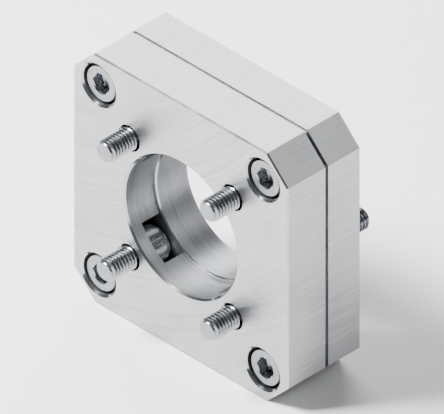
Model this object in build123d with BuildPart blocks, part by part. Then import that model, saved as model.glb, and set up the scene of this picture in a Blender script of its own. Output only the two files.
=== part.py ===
from build123d import *

import os
from math import sqrt

# Motor mounting flange: a motor side plate and a drive side plate, screwed together at their corners.
# Sizes are in millimetres. X runs across the plates, Y runs from the motor side to the drive side, Z is up.
# The origin is the point where the axis of the bore meets the face that the motor is fastened to.

# Plates
front_thickness = 13.0
rear_thickness = 11.5
corner_cut = 7.0
edge_break = 0.4
seam_width = 0.6
seam_depth = 1.0

# Bore for the motor's pilot, and the shoulder that the drive side plate leaves behind it
motor_bore_d = 37.5
shoulder = 1.0
bore_chamfer = 0.5
shoulder_chamfer = 0.3

# Spigot of the drive side plate in the recess of the motor side plate
recess_depth = 3.5
spigot_end_gap = 0.1
spigot_gap = 0.05

# Round register at the back, which centres the flange on the drive
register_depth = 4.3
register_chamfer = 0.5

# Socket head cap screws, size M6
thread_d = 6.0
head_d = 10.0
head_height = 5.8
socket_flats = 5.0
socket_depth = 3.0

# Holes for the screws
hole_clearance = 0.6
head_clearance = 1.0
thread_gap = 0.05
hole_chamfer = 0.3
counterbore_chamfer = 0.5
tapped_chamfer = 0.5

# Corner screws, which hold the plates together
corner_head_recess = 0.8
corner_screw_length = 16.0

# Neck under the head of a motor or drive screw, down to where its full thread starts
neck_d = 5.35
neck_length = 3.55

# Motor screws, whose heads lie in pockets behind a thin web round the bore
pocket_end_gap = 0.1
motor_screw_length = 12.0

# Drive screws, whose heads are sunk in the spigot
drive_head_recess = 2.4
drive_screw_length = 16.0

# Metal left between neighbouring holes and edges
motor_screw_wall = 2.35
pocket_wall = 4.1
corner_wall = 1.6
corner_rim = 0.66
spigot_rim = 1.1
register_rim = 0.9

# Radii of the holes
motor_bore_r = motor_bore_d / 2
coupling_bore_r = motor_bore_r - shoulder
clearance_r = (thread_d + hole_clearance) / 2
head_hole_r = (head_d + head_clearance) / 2
tapped_r = thread_d / 2 + thread_gap

# Places across the plates, worked out from the bore outwards
motor_circle_r = motor_bore_r + motor_screw_wall + clearance_r
motor_place = motor_circle_r / sqrt(2)
recess_r = motor_circle_r + head_hole_r + pocket_wall
spigot_r = recess_r - spigot_gap
drive_place = spigot_r - spigot_rim - head_hole_r
register_r = drive_place + clearance_r + register_rim
corner_circle_r = recess_r + corner_wall + clearance_r
corner_place = corner_circle_r / sqrt(2)

# Side of the square, to a tenth of a millimetre. Its cut corners clear the counterbores.
cut_line = corner_circle_r + head_hole_r + counterbore_chamfer + corner_rim + edge_break
plate_side = round(sqrt(2) * cut_line + corner_cut, 1)

# Depths behind the motor face
recess_floor = front_thickness - recess_depth
spigot_face = recess_floor + spigot_end_gap
spigot_height = front_thickness - spigot_face
back_face = front_thickness + rear_thickness
register_floor = back_face - register_depth
corner_seat = corner_head_recess + head_height
motor_seat = recess_floor - pocket_end_gap - head_height
drive_seat = spigot_face + drive_head_recess + head_height


def upright(depth):
    """Plane across the bore at a depth behind the motor face. It looks at the motor, with Z up."""
    return Plane.XZ.offset(-depth)


def square_outline():
    """Square of the plates, with its corners cut off at 45 degrees."""
    square = Rectangle(plate_side, plate_side)
    chamfer(square.vertices(), corner_cut)


def rims(plate, depth, radius):
    """Round edges of a plate that lie at a depth and have a radius."""
    near = 0.001
    circles = plate.edges().filter_by(GeomType.CIRCLE)
    level = circles.filter_by_position(Axis.Y, depth - near, depth + near)
    return level.filter_by(lambda edge: abs(edge.radius - radius) < near)


def cap_screw(seat, length, neck=0):
    """Socket head cap screw. Its head stands on the seat plane and its shank runs down from there."""
    thread_r = thread_d / 2
    neck_r = neck_d / 2
    head_r = head_d / 2
    run_out = thread_r - neck_r
    shank = [(thread_r, 0)]
    if neck > 0:
        shank = [(thread_r, -neck), (neck_r, run_out - neck), (neck_r, 0)]
    half_section = Plane(seat.origin, x_dir=seat.x_dir, z_dir=-seat.y_dir)
    with BuildPart() as screw:
        with BuildSketch(half_section):
            with BuildLine():
                Polyline(
                    (0, -length),
                    (thread_r, -length),
                    *shank,
                    (head_r, 0),
                    (head_r, head_height),
                    (0, head_height),
                    close=True,
                )
            make_face()
        revolve(axis=Axis(seat.origin, seat.z_dir))
        with BuildSketch(seat.offset(head_height)):
            RegularPolygon(socket_flats / 2, 6, major_radius=False)
        extrude(amount=-socket_depth, mode=Mode.SUBTRACT)
    return screw


os.makedirs("parts", exist_ok=True)

# Motor side plate
with BuildPart(upright(0)) as front_plate:
    with BuildSketch(upright(0)):
        square_outline()
    extrude(amount=-front_thickness)
    flat_faces = front_plate.faces().sort_by(Axis.Y)
    chamfer(flat_faces[0].edges() + flat_faces[-1].edges(), edge_break)
    Hole(motor_bore_r)
    with BuildSketch(upright(recess_floor)):
        Circle(recess_r)
    extrude(amount=-recess_depth, mode=Mode.SUBTRACT)
    # Pockets for the heads of the motor screws, each open to the bore and to the recess
    with BuildSketch(upright(motor_seat)):
        with PolarLocations(motor_circle_r, 4, start_angle=45):
            Circle(head_hole_r)
        with PolarLocations(motor_circle_r / 2, 4, start_angle=45):
            Rectangle(motor_circle_r, 2 * head_hole_r)
    extrude(amount=motor_seat - recess_floor, mode=Mode.SUBTRACT)
    with GridLocations(2 * motor_place, 2 * motor_place, 2, 2):
        Hole(clearance_r)
    with GridLocations(2 * corner_place, 2 * corner_place, 2, 2):
        CounterBoreHole(clearance_r, head_hole_r, corner_seat)
    chamfer(rims(front_plate, 0, motor_bore_r), bore_chamfer)
    chamfer(rims(front_plate, 0, head_hole_r), counterbore_chamfer)
    chamfer(rims(front_plate, 0, clearance_r), hole_chamfer)
front_plate.part.label = "front_plate"
export_step(front_plate.part, "parts/front_plate.step")

# Drive side plate
with BuildPart(upright(front_thickness)) as rear_plate:
    with BuildSketch(upright(front_thickness)):
        square_outline()
    extrude(amount=-rear_thickness)
    chamfer(rear_plate.faces().sort_by(Axis.Y)[-1].edges(), edge_break)
    # Narrow seam round the joint, which keeps the rims of the two plates apart
    with BuildSketch(upright(front_thickness)):
        square_outline()
        offset(amount=-seam_depth, mode=Mode.SUBTRACT)
    extrude(amount=-seam_width, mode=Mode.SUBTRACT)
    with BuildSketch(upright(front_thickness)):
        Circle(spigot_r)
    extrude(amount=spigot_height)
    with BuildSketch(upright(register_floor)):
        Circle(register_r)
    extrude(amount=-register_depth, mode=Mode.SUBTRACT)
    Hole(coupling_bore_r)
    with Locations((-drive_place, 0, spigot_height), (drive_place, 0, spigot_height)):
        CounterBoreHole(clearance_r, head_hole_r, drive_seat - spigot_face)
    with GridLocations(2 * corner_place, 2 * corner_place, 2, 2):
        Hole(tapped_r)
    chamfer(rims(rear_plate, spigot_face, coupling_bore_r), shoulder_chamfer)
    chamfer(rims(rear_plate, register_floor, coupling_bore_r), shoulder_chamfer)
    chamfer(rims(rear_plate, back_face, register_r), register_chamfer)
    chamfer(rims(rear_plate, back_face, tapped_r), tapped_chamfer)
rear_plate.part.label = "rear_plate"
export_step(rear_plate.part, "parts/rear_plate.step")

# Corner screws: heads sunk in the motor side plate, threads in the drive side plate
corners = [(x, z) for x in (-corner_place, corner_place) for z in (corner_place, -corner_place)]
for number, (x, z) in enumerate(corners, start=1):
    seat = Plane((x, corner_seat, z), x_dir=(1, 0, 0), z_dir=(0, -1, 0))
    corner_screw = cap_screw(seat, corner_screw_length)
    corner_screw.part.label = f"corner_screw_{number}"
    export_step(corner_screw.part, f"parts/corner_screw_{number}.step")

# Motor screws: heads in the pockets round the bore, threads standing out of the motor face
diagonals = [(x, z) for x in (-motor_place, motor_place) for z in (motor_place, -motor_place)]
for number, (x, z) in enumerate(diagonals, start=1):
    seat = Plane((x, motor_seat, z), x_dir=(1, 0, 0), z_dir=(0, 1, 0))
    motor_screw = cap_screw(seat, motor_screw_length, neck_length)
    motor_screw.part.label = f"motor_screw_{number}"
    export_step(motor_screw.part, f"parts/motor_screw_{number}.step")

# Drive screws: heads sunk in the spigot, threads standing out through the register
for number, x in enumerate((-drive_place, drive_place), start=1):
    seat = Plane((x, drive_seat, 0), x_dir=(1, 0, 0), z_dir=(0, -1, 0))
    drive_screw = cap_screw(seat, drive_screw_length, neck_length)
    drive_screw.part.label = f"drive_screw_{number}"
    export_step(drive_screw.part, f"parts/drive_screw_{number}.step")
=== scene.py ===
from math import cos, pi, radians, sin, tan

import bmesh
import bpy
from mathutils import Matrix, Vector


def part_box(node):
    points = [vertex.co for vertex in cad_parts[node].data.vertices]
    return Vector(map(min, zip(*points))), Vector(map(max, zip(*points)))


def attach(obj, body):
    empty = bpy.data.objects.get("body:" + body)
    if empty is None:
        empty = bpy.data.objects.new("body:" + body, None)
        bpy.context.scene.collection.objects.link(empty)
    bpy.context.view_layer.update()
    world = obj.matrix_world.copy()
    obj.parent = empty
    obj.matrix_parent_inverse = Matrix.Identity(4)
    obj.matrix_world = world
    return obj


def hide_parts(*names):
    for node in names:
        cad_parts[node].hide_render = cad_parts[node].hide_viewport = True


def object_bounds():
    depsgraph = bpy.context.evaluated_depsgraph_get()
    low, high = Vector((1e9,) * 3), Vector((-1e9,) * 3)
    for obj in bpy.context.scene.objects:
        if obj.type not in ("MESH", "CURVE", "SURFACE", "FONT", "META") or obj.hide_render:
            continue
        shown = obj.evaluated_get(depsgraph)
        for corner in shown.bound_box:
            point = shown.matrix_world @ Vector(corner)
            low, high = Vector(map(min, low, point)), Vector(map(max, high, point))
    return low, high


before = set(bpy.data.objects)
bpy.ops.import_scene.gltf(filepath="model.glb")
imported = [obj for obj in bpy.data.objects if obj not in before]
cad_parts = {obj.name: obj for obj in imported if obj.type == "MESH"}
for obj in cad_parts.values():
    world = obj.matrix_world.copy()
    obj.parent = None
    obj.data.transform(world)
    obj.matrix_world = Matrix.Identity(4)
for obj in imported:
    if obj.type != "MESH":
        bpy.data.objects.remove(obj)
cad_low, cad_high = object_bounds()

MM = 0.001

# Faces of the plates along the bore's axis, and half the side of the square
motor_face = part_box("front_plate")[0].y
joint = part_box("front_plate")[1].y
back_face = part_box("rear_plate")[1].y
half_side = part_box("front_plate")[1].x

# Screw thread M6: crest, flank and root of its profile, its tip, its neck and its run-out
THREAD_R = 3.0 * MM
ROOT_R = 2.46 * MM
ROOT_BOTTOM_R = 2.41 * MM
FLANK_R = (THREAD_R + ROOT_R) / 2
PITCH = 1.0 * MM
TIP_R = 2.3 * MM
NECK_R = 2.675 * MM
NECK_LENGTH = 3.55 * MM
RUN_OUT_LENGTH = 0.9 * MM

# Thread profile over one pitch, from crest to crest: share of the pitch and radius. The spare turns past
# the end of the thread are pressed flat there
CREST_END = 1 / 8
ROOT_START = 7 / 16
ROOT_END = 11 / 16
THREAD_PROFILE = (
    (0.0, THREAD_R),
    (CREST_END, THREAD_R),
    ((CREST_END + ROOT_START) / 2, FLANK_R),
    (ROOT_START, ROOT_R),
    ((ROOT_START + ROOT_END) / 2, ROOT_BOTTOM_R),
    (ROOT_END, ROOT_R),
    ((ROOT_END + 1) / 2, FLANK_R),
)
PER_TURN = len(THREAD_PROFILE)
SPARE_TURNS = 3

# Screw head and its knurl, with the middle points of its fillet and of its rounded bevel
HEAD_R = 5.0 * MM
HEAD_HEIGHT = 5.8 * MM
SEAT_FILLET = 0.25 * MM
FILLET_MIDDLE = 0.3 * SEAT_FILLET
SEAT_BEVEL = 0.35 * MM
KNURL_DEPTH = 0.12 * MM
KNURL_LOW = 0.5 * MM
KNURL_HIGH = HEAD_HEIGHT - 0.95 * MM
KNURL_RUN_OUT = 0.12 * MM
HEAD_BEVEL = 0.5 * MM
BEVEL_MIDDLE_IN = 0.5 * HEAD_BEVEL
BEVEL_MIDDLE_DOWN = 0.15 * HEAD_BEVEL

# Hexagon socket. Its mouth and its drill point are cones of the same angle
SOCKET_FLATS = 5.0 * MM
SOCKET_DEPTH = 3.0 * MM
SOCKET_MOUTH_R = 2.95 * MM
CONE_SLOPE = tan(radians(60.0))
DRILL_R = 2.45 * MM
DRILL_DEPTH = DRILL_R / CONE_SLOPE
HEXAGON_STEP = radians(60.0)

# Thread of the tapped holes, past the end of each corner screw. The shares are of the pitch, and count
# from the middle of its crest
TAPPED_END_R = 3.03 * MM
TAPPED_BODY_R = 3.10 * MM
TAPPED_CREST_R = 2.5 * MM
TAPPED_CREST_SHARE = 1 / 8
TAPPED_ROOT_SHARE = 7 / 16
TAPPED_CHAMFER = 0.5 * MM
TAPPED_CLEARANCE = 0.05 * MM
TAPPED_ROWS = 72

# Meshes: vertices round the axis, the angle of sharp corners, the distance at which vertices are joined,
# and the one at which an edge counts as lying at the tip
COLUMNS = 144
SHARP_ANGLE = radians(24.0)
WELD = 0.0005 * MM
NEAR_TIP = 0.01 * MM

# Sides that the heads of the screws look to, as signs of Y
MOTOR_SIDE = -1
DRIVE_SIDE = 1

# Ranges of masks and of noise, and kinds of noise as scale, detail and roughness
MASK = (0.0, 1.0)
SPREAD = (0.35, 0.65)
WIDE_SPREAD = (0.3, 0.7)
GRAINS = (9000.0, 2.0, 0.6)
PLATE_CLOUDS = (90.0, 4.0, 0.55)
STEEL_CLOUDS = (400.0, 3.0, 0.55)
FLOOR_CLOUDS = (3.0, 2.0, 0.5)
FACE_MARKS = (1.0, 7.0, 0.72)
WALL_MARKS = (1.0, 6.0, 0.7)

# Where the marks of the plates lie: how far faces and walls look along Y, and the margins within which
# a face or a side is an outer one. The share brings x and z of a cut corner, added up, to half the side
FACE_LOOKS = (0.8, 0.9)
WALL_LOOKS = (0.3, 0.2)
FACE_MARGIN = 0.5 * MM
SIDE_MARGIN = 0.4 * MM
CUT_CORNER_SHARE = 0.556

# Marks of the plates: the middle of the face mill's arcs, how many marks there are to the metre, how
# often they change along the axis and round it, and what sets those of the rear plate apart
MILL_X = -55.0 * MM
MILL_Z = 95.0 * MM
ARCS_PER_M = 1000.0
LINES_PER_M = 1800.0
RINGS_PER_M = 1800.0
CHANGES_ALONG = 40.0
CHANGES_ROUND = 60.0
REAR_SHIFT = 9.0

# Aluminium: roughness of its skin, its streaks and its bevels, shares of marks and clouds, their tone,
# painted shade that darkens the bore walls, colours and relief
SATIN = (0.36, 0.44)
STREAKS = (-0.02, 0.02)
BEVELS = (0.12, 0.17)
MARK_SHARE = 0.65
CLOUD_SHARE = 0.35
BLEND_SPREAD = (0.42, 0.58)
OPEN_SHADE = (0.5, 1.0)
BORE_PAINTED_SHADE = 0.5
PLATE_DARK = (0.25, 0.26, 0.28)
PLATE_PALE = (0.47, 0.475, 0.48)
GRAIN_SHARE = 0.3
PLATE_RELIEF = 0.012 * MM
PLATE_BUMP = 0.35

# Steel: how far flat ends look along Y, roughness of its skin and of flat ends, colours and relief
END_LOOKS = (0.93, 0.97)
BRIGHT = (0.19, 0.31)
DULL = (0.38, 0.50)
STEEL_DARK = (0.24, 0.25, 0.27)
STEEL_PALE = (0.33, 0.335, 0.345)
STEEL_RELIEF = 0.003 * MM
STEEL_BUMP = 0.4

# Floor and room
FLOOR_HALF = 3.0
FLOOR_COLOUR = (0.90, 0.90, 0.90)
FLOOR_MATT = (0.70, 0.80)
ROOM_COLOUR = (0.95, 0.97, 1.0)
ROOM_STRENGTH = 0.22
LAMP_DISTANCE = 1.0

# Camera: isometric, with the width and scale of the photo. Its centre lies right of the origin and above it
PHOTO_WIDTH_PX = 444
PHOTO_PX_PER_MM = 4.217
VIEW_AZIMUTH = radians(45.0)
VIEW_ELEVATION = radians(35.22)
CENTRE_RIGHT = 9.87 * MM
CENTRE_UP = 4.84 * MM
CAMERA_DISTANCE = 0.8


class Nodes:
    """Node tree of a new material with one shader, and short ways to add to it."""

    def __init__(self, name, metallic):
        self.material = bpy.data.materials.new(name)
        self.material.use_nodes = True
        self.nodes = self.material.node_tree.nodes
        self.links = self.material.node_tree.links
        self.shader = self.nodes["Principled BSDF"]
        self.shader.inputs["Metallic"].default_value = metallic

    def plug(self, value, socket):
        """Gives a socket a number or the output of another node."""
        if isinstance(value, (int, float)):
            socket.default_value = value
        else:
            self.links.new(value, socket)

    def math(self, operation, first, second=0.0):
        """Math on two sockets or numbers."""
        node = self.nodes.new("ShaderNodeMath")
        node.operation = operation
        self.plug(first, node.inputs[0])
        self.plug(second, node.inputs[1])
        return node.outputs[0]

    def plus(self, first, second):
        """Sum of two sockets or numbers."""
        return self.math("ADD", first, second)

    def minus(self, first, second):
        """First socket or number less the second."""
        return self.math("SUBTRACT", first, second)

    def times(self, first, second):
        """Product of two sockets or numbers."""
        return self.math("MULTIPLY", first, second)

    def ranged(self, value, given, wanted):
        """Value brought from one range to another, and kept inside it."""
        node = self.nodes.new("ShaderNodeMapRange")
        self.links.new(value, node.inputs["Value"])
        node.inputs["From Min"].default_value = given[0]
        node.inputs["From Max"].default_value = given[1]
        node.inputs["To Min"].default_value = wanted[0]
        node.inputs["To Max"].default_value = wanted[1]
        return node.outputs["Result"]

    def noise(self, vector, kind):
        """Noise of a scale, a detail and a roughness, at the places that a vector socket gives."""
        scale, detail, rough = kind
        node = self.nodes.new("ShaderNodeTexNoise")
        node.inputs["Scale"].default_value = scale
        node.inputs["Detail"].default_value = detail
        node.inputs["Roughness"].default_value = rough
        self.links.new(vector, node.inputs["Vector"])
        return node.outputs["Fac"]

    def place(self):
        """Place on the object, as a vector socket."""
        return self.nodes.new("ShaderNodeTexCoord").outputs["Object"]

    def looks_along(self):
        """How far the surface looks along the Y axis, either way, from 0 to 1."""
        normal = self.nodes.new("ShaderNodeNewGeometry").outputs["True Normal"]
        return self.math("ABSOLUTE", self.split(normal)[1])

    def split(self, vector):
        """X, Y and Z sockets of a vector socket."""
        node = self.nodes.new("ShaderNodeSeparateXYZ")
        self.links.new(vector, node.inputs[0])
        return node.outputs

    def join(self, x, y, z):
        """Vector socket of three sockets."""
        node = self.nodes.new("ShaderNodeCombineXYZ")
        for socket, value in zip(node.inputs, (x, y, z)):
            self.links.new(value, socket)
        return node.outputs[0]

    def mixed(self, factor, first, second):
        """Value between two sockets, by a factor socket."""
        node = self.nodes.new("ShaderNodeMix")
        node.data_type = "FLOAT"
        self.links.new(factor, node.inputs["Factor"])
        self.links.new(first, node.inputs["A"])
        self.links.new(second, node.inputs["B"])
        return node.outputs["Result"]

    def tinted(self, factor, first, second):
        """Colour between two colours, by a factor socket."""
        node = self.nodes.new("ShaderNodeMix")
        node.data_type = "RGBA"
        self.links.new(factor, node.inputs["Factor"])
        node.inputs["A"].default_value = (*first, 1.0)
        node.inputs["B"].default_value = (*second, 1.0)
        return node.outputs["Result"]

    def bump(self, height, distance, strength):
        """Bump of a height socket on the shader."""
        node = self.nodes.new("ShaderNodeBump")
        node.inputs["Strength"].default_value = strength
        node.inputs["Distance"].default_value = distance
        self.links.new(height, node.inputs["Height"])
        self.links.new(node.outputs["Normal"], self.shader.inputs["Normal"])


def face_marks(tree, place, along):
    """Arcs of the face mill on the two outer faces, and rings round the axis on the turned floors."""
    x, y, z = place
    behind_front = tree.math("GREATER_THAN", y, motor_face + FACE_MARGIN)
    before_back = tree.math("LESS_THAN", y, back_face - FACE_MARGIN)
    outer = tree.minus(1.0, tree.times(behind_front, before_back))
    across = tree.minus(x, tree.times(outer, MILL_X))
    upwards = tree.minus(z, tree.times(outer, MILL_Z))
    reach = tree.math("SQRT", tree.plus(tree.times(across, across), tree.times(upwards, upwards)))
    turn = tree.math("ARCTAN2", upwards, across)
    return tree.noise(tree.join(tree.times(reach, ARCS_PER_M), turn, along), FACE_MARKS)


def wall_marks(tree, place, along, outside):
    """Lines of the end mill across the outer sides, and fine rings in the bores."""
    x, y, z = place
    lines = tree.join(tree.times(x, LINES_PER_M), along, tree.times(z, LINES_PER_M))
    round_x = tree.times(x, CHANGES_ROUND)
    round_z = tree.times(z, CHANGES_ROUND)
    rings = tree.join(round_x, tree.times(y, RINGS_PER_M), round_z)
    return tree.mixed(outside, tree.noise(rings, WALL_MARKS), tree.noise(lines, WALL_MARKS))


def outer_sides(tree, place):
    """Mask of the outer sides and cut corners of the plates."""
    wide = tree.math("ABSOLUTE", place[0])
    high = tree.math("ABSOLUTE", place[2])
    on_cut = tree.times(tree.plus(wide, high), CUT_CORNER_SHARE)
    out = tree.math("MAXIMUM", tree.math("MAXIMUM", wide, high), on_cut)
    return tree.math("GREATER_THAN", out, half_side - SIDE_MARGIN)


def plate_aluminium():
    """Satin clear anodised aluminium: milled faces, turned bores and floors, smooth bright bevels."""
    tree = Nodes("plate_aluminium", metallic=1.0)
    spot = tree.place()
    place = tree.split(spot)
    looks = tree.looks_along()
    on_face = tree.ranged(looks, FACE_LOOKS, MASK)
    on_wall = tree.ranged(looks, WALL_LOOKS, MASK)
    machined = tree.math("MAXIMUM", on_face, on_wall)
    outside = outer_sides(tree, place)

    # Each plate has marks of its own
    in_rear = tree.math("GREATER_THAN", place[1], joint)
    along = tree.plus(tree.times(place[1], CHANGES_ALONG), tree.times(in_rear, REAR_SHIFT))
    on_walls = wall_marks(tree, place, along, outside)
    marks = tree.mixed(on_face, on_walls, face_marks(tree, place, along))

    # Roughness: satin with faint streaks, and smoother bevels
    clouds = tree.noise(spot, PLATE_CLOUDS)
    satin = tree.ranged(clouds, SPREAD, SATIN)
    streaked = tree.plus(satin, tree.ranged(marks, SPREAD, STREAKS))
    smooth = tree.ranged(clouds, SPREAD, BEVELS)
    tree.plug(tree.mixed(machined, smooth, streaked), tree.shader.inputs["Roughness"])

    # Colour: marks and clouds of the skin, and painted shade that darkens the walls of the bores
    blend = tree.plus(tree.times(marks, MARK_SHARE), tree.times(clouds, CLOUD_SHARE))
    even = tree.ranged(blend, BLEND_SPREAD, OPEN_SHADE)
    # Painted shade: the walls of the bores and holes, away from the outer sides, are darker in colour
    painted_shade_in_bores = tree.times(on_wall, tree.minus(1.0, outside))
    shade = tree.minus(even, tree.times(painted_shade_in_bores, BORE_PAINTED_SHADE))
    tint = tree.tinted(shade, PLATE_DARK, PLATE_PALE)
    tree.plug(tint, tree.shader.inputs["Base Color"])

    # Relief: marks and grains on the machined faces
    relief = tree.plus(marks, tree.times(tree.noise(spot, GRAINS), GRAIN_SHARE))
    tree.bump(tree.times(relief, machined), PLATE_RELIEF, PLATE_BUMP)
    return tree.material


def screw_steel():
    """Zinc plated steel: bright on threads, heads and bevels, duller on the flat ends."""
    tree = Nodes("screw_steel", metallic=1.0)
    spot = tree.place()
    on_end = tree.ranged(tree.looks_along(), END_LOOKS, MASK)
    clouds = tree.noise(spot, STEEL_CLOUDS)
    bright = tree.ranged(clouds, WIDE_SPREAD, BRIGHT)
    dull = tree.ranged(clouds, WIDE_SPREAD, DULL)
    tree.plug(tree.mixed(on_end, bright, dull), tree.shader.inputs["Roughness"])
    even = tree.ranged(clouds, WIDE_SPREAD, MASK)
    tree.plug(tree.tinted(even, STEEL_DARK, STEEL_PALE), tree.shader.inputs["Base Color"])
    tree.bump(tree.noise(spot, GRAINS), STEEL_RELIEF, STEEL_BUMP)
    return tree.material


def floor_pale():
    """Matt pale studio floor."""
    tree = Nodes("floor_pale", metallic=0.0)
    tree.shader.inputs["Base Color"].default_value = (*FLOOR_COLOUR, 1.0)
    clouds = tree.noise(tree.place(), FLOOR_CLOUDS)
    tree.plug(tree.ranged(clouds, WIDE_SPREAD, FLOOR_MATT), tree.shader.inputs["Roughness"])
    return tree.material


def thread_radius(share):
    """Radius of the thread profile at a share of the pitch."""
    share = share % 1.0
    points = THREAD_PROFILE + ((1.0, THREAD_R),)
    for (low, low_r), (high, high_r) in zip(points, points[1:]):
        if share <= high:
            return low_r + (high_r - low_r) * (share - low) / (high - low)


def smooth_step(value):
    """Soft step from 0 to 1."""
    value = min(max(value, 0.0), 1.0)
    return value * value * (3.0 - 2.0 * value)


def ring_from(mesh, points):
    """Ring of vertices round the Z axis, one (radius, height) to a column."""
    made = []
    for column, (radius, height) in enumerate(points):
        angle = 2 * pi * column / COLUMNS
        made.append(mesh.verts.new((radius * cos(angle), radius * sin(angle), height)))
    return made


def ring_of(mesh, radius, height):
    """Round ring of vertices."""
    return ring_from(mesh, [(radius, height)] * COLUMNS)


def skin(mesh, low, high):
    """Faces between two rings."""
    for column in range(COLUMNS):
        after = (column + 1) % COLUMNS
        mesh.faces.new((low[column], low[after], high[after], high[column]))


def add_thread(mesh, tip, end):
    """Right-hand thread from the tip to the neck. Gives the edges of its open lower end."""
    turns = int((end - tip) / PITCH) + SPARE_TURNS
    rows = []
    for row in range(-PER_TURN, turns * PER_TURN):
        share = THREAD_PROFILE[row % PER_TURN][0]
        ring = []
        for column in range(COLUMNS):
            raw = tip + PITCH * (row // PER_TURN + share + column / COLUMNS)
            height = min(max(raw, tip), end)
            crest = min(THREAD_R, TIP_R + height - tip, NECK_R + end - height)
            cut = min(crest, thread_radius((height - tip) / PITCH - column / COLUMNS))
            depth = smooth_step((end - height) / PITCH)
            ring.append((crest + (cut - crest) * depth, height))
        rows.append(ring_from(mesh, ring))
    # The last column of a row meets the first column of the row one turn further on
    for number, (low, high) in enumerate(zip(rows, rows[1:])):
        for column in range(COLUMNS - 1):
            mesh.faces.new((low[column], low[column + 1], high[column + 1], high[column]))
        if number + 1 + PER_TURN < len(rows):
            low_on = rows[number + PER_TURN]
            high_on = rows[number + 1 + PER_TURN]
            mesh.faces.new((low[-1], low_on[0], high_on[0], high[-1]))
    bmesh.ops.remove_doubles(mesh, verts=mesh.verts[:], dist=WELD)
    bmesh.ops.dissolve_degenerate(mesh, dist=WELD, edges=mesh.edges[:])
    open_edges = [edge for edge in mesh.edges if len(edge.link_faces) == 1]
    return [edge for edge in open_edges if max(vert.co.z for vert in edge.verts) < tip + NEAR_TIP]


def hexagon_r(column):
    """Distance from the axis to the socket's wall. The hexagon has a corner at the first column."""
    from_corner = (2 * pi * column / COLUMNS) % HEXAGON_STEP
    return SOCKET_FLATS / 2 / cos(from_corner - HEXAGON_STEP / 2)


def finished(mesh, name, material):
    """Mesh data with outward normals, smooth faces and sharp corners."""
    bmesh.ops.recalc_face_normals(mesh, faces=mesh.faces[:])
    data = bpy.data.meshes.new(name)
    mesh.to_mesh(data)
    mesh.free()
    data.shade_smooth()
    data.set_sharp_from_angle(angle=SHARP_ANGLE)
    data.materials.append(material)
    return data


def linked(name, data):
    """New object with this data, linked to the scene."""
    made = bpy.data.objects.new(name, data)
    bpy.context.scene.collection.objects.link(made)
    return made


def screw_mesh(name, length, neck):
    """Mesh of a socket head cap screw along Z, with its seat at 0 and its head above."""
    mesh = bmesh.new()
    thread_end = THREAD_R - NECK_R - neck
    tip_edges = add_thread(mesh, -length, thread_end)
    bmesh.ops.contextual_create(mesh, geom=tip_edges)

    head_side = HEAD_R - KNURL_DEPTH
    knurled = [HEAD_R - KNURL_DEPTH * (column % 2) for column in range(COLUMNS)]
    hexagon = [hexagon_r(column) for column in range(COLUMNS)]
    mouth = [(radius, HEAD_HEIGHT - (SOCKET_MOUTH_R - radius) / CONE_SLOPE) for radius in hexagon]
    floor = HEAD_HEIGHT - SOCKET_DEPTH
    rings = [
        ring_of(mesh, NECK_R, thread_end),
        ring_of(mesh, NECK_R, -SEAT_FILLET),
        ring_of(mesh, NECK_R + FILLET_MIDDLE, -FILLET_MIDDLE),
        ring_of(mesh, NECK_R + SEAT_FILLET, 0.0),
        ring_of(mesh, head_side - SEAT_BEVEL, 0.0),
        ring_of(mesh, head_side, SEAT_BEVEL),
        ring_from(mesh, [(radius, KNURL_LOW) for radius in knurled]),
        ring_from(mesh, [(radius, KNURL_HIGH) for radius in knurled]),
        ring_of(mesh, head_side, KNURL_HIGH + KNURL_RUN_OUT),
        ring_of(mesh, head_side, HEAD_HEIGHT - HEAD_BEVEL),
        ring_of(mesh, head_side - BEVEL_MIDDLE_IN, HEAD_HEIGHT - BEVEL_MIDDLE_DOWN),
        ring_of(mesh, head_side - HEAD_BEVEL, HEAD_HEIGHT),
        ring_of(mesh, SOCKET_MOUTH_R, HEAD_HEIGHT),
        ring_from(mesh, mouth),
        ring_from(mesh, [(radius, floor) for radius in hexagon]),
        ring_of(mesh, DRILL_R, floor),
        ring_of(mesh, 0.0, floor - DRILL_DEPTH),
    ]
    for low, high in zip(rings, rings[1:]):
        skin(mesh, low, high)
    bmesh.ops.remove_doubles(mesh, verts=mesh.verts[:], dist=WELD)
    return finished(mesh, name, STEEL)


def add_screw(name, node, towards, neck):
    """Detailed screw in the place of a CAD screw. Its head looks to the motor side or the drive side."""
    low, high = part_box(node)
    length = high.y - low.y - HEAD_HEIGHT
    seat = low.y + HEAD_HEIGHT if towards == MOTOR_SIDE else high.y - HEAD_HEIGHT
    right = Vector((1, 0, 0))
    along = Vector((0, towards, 0))
    turn = Matrix((right, along.cross(right), along)).transposed().to_4x4()
    middle = Vector(((low.x + high.x) / 2, seat, (low.z + high.z) / 2))
    data = screw_mesh(name, length, neck)
    data.transform(Matrix.Translation(middle) @ turn)
    piece = linked(name, data)
    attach(piece, "root")
    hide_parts(node)


def tapped_radius(share):
    """Radius of the tapped hole's thread at a share of the pitch, from its crest."""
    share = abs((share + 0.5) % 1.0 - 0.5)
    flank = (share - TAPPED_CREST_SHARE) / (TAPPED_ROOT_SHARE - TAPPED_CREST_SHARE)
    return TAPPED_CREST_R + (THREAD_R - TAPPED_CREST_R) * min(max(flank, 0.0), 1.0)


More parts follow.
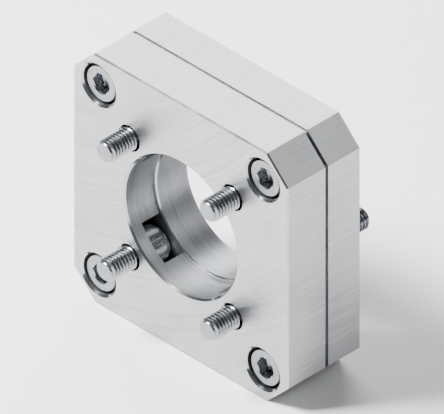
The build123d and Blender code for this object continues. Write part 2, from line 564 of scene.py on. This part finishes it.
def add_tapped_thread(name, node):
    """Empty turns of a tapped hole, from the tip of the CAD screw in it to the hole's chamfer."""
    low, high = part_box(node)
    start = high.y + TAPPED_CLEARANCE
    depth = back_face - TAPPED_CHAMFER - start
    mesh = bmesh.new()
    rings = [ring_of(mesh, TAPPED_BODY_R, 0.0)]
    for row in range(TAPPED_ROWS + 1):
        height = depth * row / TAPPED_ROWS
        chamfer_r = TAPPED_END_R - (depth - height)
        points = []
        for column in range(COLUMNS):
            radius = tapped_radius(height / PITCH - column / COLUMNS)
            points.append((max(radius, chamfer_r), height))
        rings.append(ring_from(mesh, points))
    rings.append(ring_of(mesh, TAPPED_BODY_R, depth))
    rings.append(rings[0])
    for lower, upper in zip(rings, rings[1:]):
        skin(mesh, lower, upper)
    data = finished(mesh, name, ALUMINIUM)
    turn = Matrix(((1, 0, 0), (0, 0, 1), (0, -1, 0))).to_4x4()
    middle = Vector(((low.x + high.x) / 2, start, (low.z + high.z) / 2))
    data.transform(Matrix.Translation(middle) @ turn)
    piece = linked(name, data)
    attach(piece, "root")


def softbox(name, direction, size, power):
    """Square area light that looks at the middle of the motor face from a direction."""
    light = bpy.data.lights.new(name, "AREA")
    light.size = size
    light.energy = power
    lamp = linked(name, light)
    way = Vector(direction).normalized()
    lamp.location = way * LAMP_DISTANCE
    lamp.rotation_euler = way.to_track_quat("Z", "Y").to_euler()


ALUMINIUM = plate_aluminium()
STEEL = screw_steel()

for node in ("front_plate", "rear_plate"):
    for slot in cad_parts[node].material_slots:
        slot.material = ALUMINIUM

for number in (1, 2, 3, 4):
    add_screw(f"corner_cap_screw_{number}", f"corner_screw_{number}", MOTOR_SIDE, RUN_OUT_LENGTH)
    add_screw(f"motor_cap_screw_{number}", f"motor_screw_{number}", DRIVE_SIDE, NECK_LENGTH)
    add_tapped_thread(f"tapped_thread_{number}", f"corner_screw_{number}")
for number in (1, 2):
    add_screw(f"drive_cap_screw_{number}", f"drive_screw_{number}", MOTOR_SIDE, NECK_LENGTH)

# Floor
floor_mesh = bpy.data.meshes.new("floor")
signs = [(-1, -1), (1, -1), (1, 1), (-1, 1)]
corners = [(x * FLOOR_HALF, y * FLOOR_HALF, cad_low.z) for x, y in signs]
floor_mesh.from_pydata(corners, [], [(0, 1, 2, 3)])
floor_mesh.materials.append(floor_pale())
floor = linked("floor", floor_mesh)

# Light: a key high on the left in front, a broad one on the left behind, a faint one on the right behind,
# and a dim room
world = bpy.data.worlds.new("studio")
bpy.context.scene.world = world
world.use_nodes = True
room = world.node_tree.nodes["Background"]
room.inputs["Color"].default_value = (*ROOM_COLOUR, 1.0)
room.inputs["Strength"].default_value = ROOM_STRENGTH
softbox("key", direction=(-1.0, -1.0, 1.9), size=0.34, power=44.0)
softbox("top", direction=(-1.0, 1.0, 1.0), size=0.7, power=10.0)
softbox("back", direction=(1.0, 1.0, 1.0), size=0.4, power=1.2)

# Camera
back = Vector((sin(VIEW_AZIMUTH), -cos(VIEW_AZIMUTH), tan(VIEW_ELEVATION))).normalized()
right = Vector((cos(VIEW_AZIMUTH), sin(VIEW_AZIMUTH), 0.0))
up = back.cross(right)
camera_data = bpy.data.cameras.new("camera")
camera_data.type = "ORTHO"
camera_data.ortho_scale = PHOTO_WIDTH_PX / PHOTO_PX_PER_MM * MM
camera = linked("camera", camera_data)
camera.location = right * CENTRE_RIGHT + up * CENTRE_UP + back * CAMERA_DISTANCE
camera.rotation_euler = back.to_track_quat("Z", "Y").to_euler()
bpy.context.scene.camera = camera
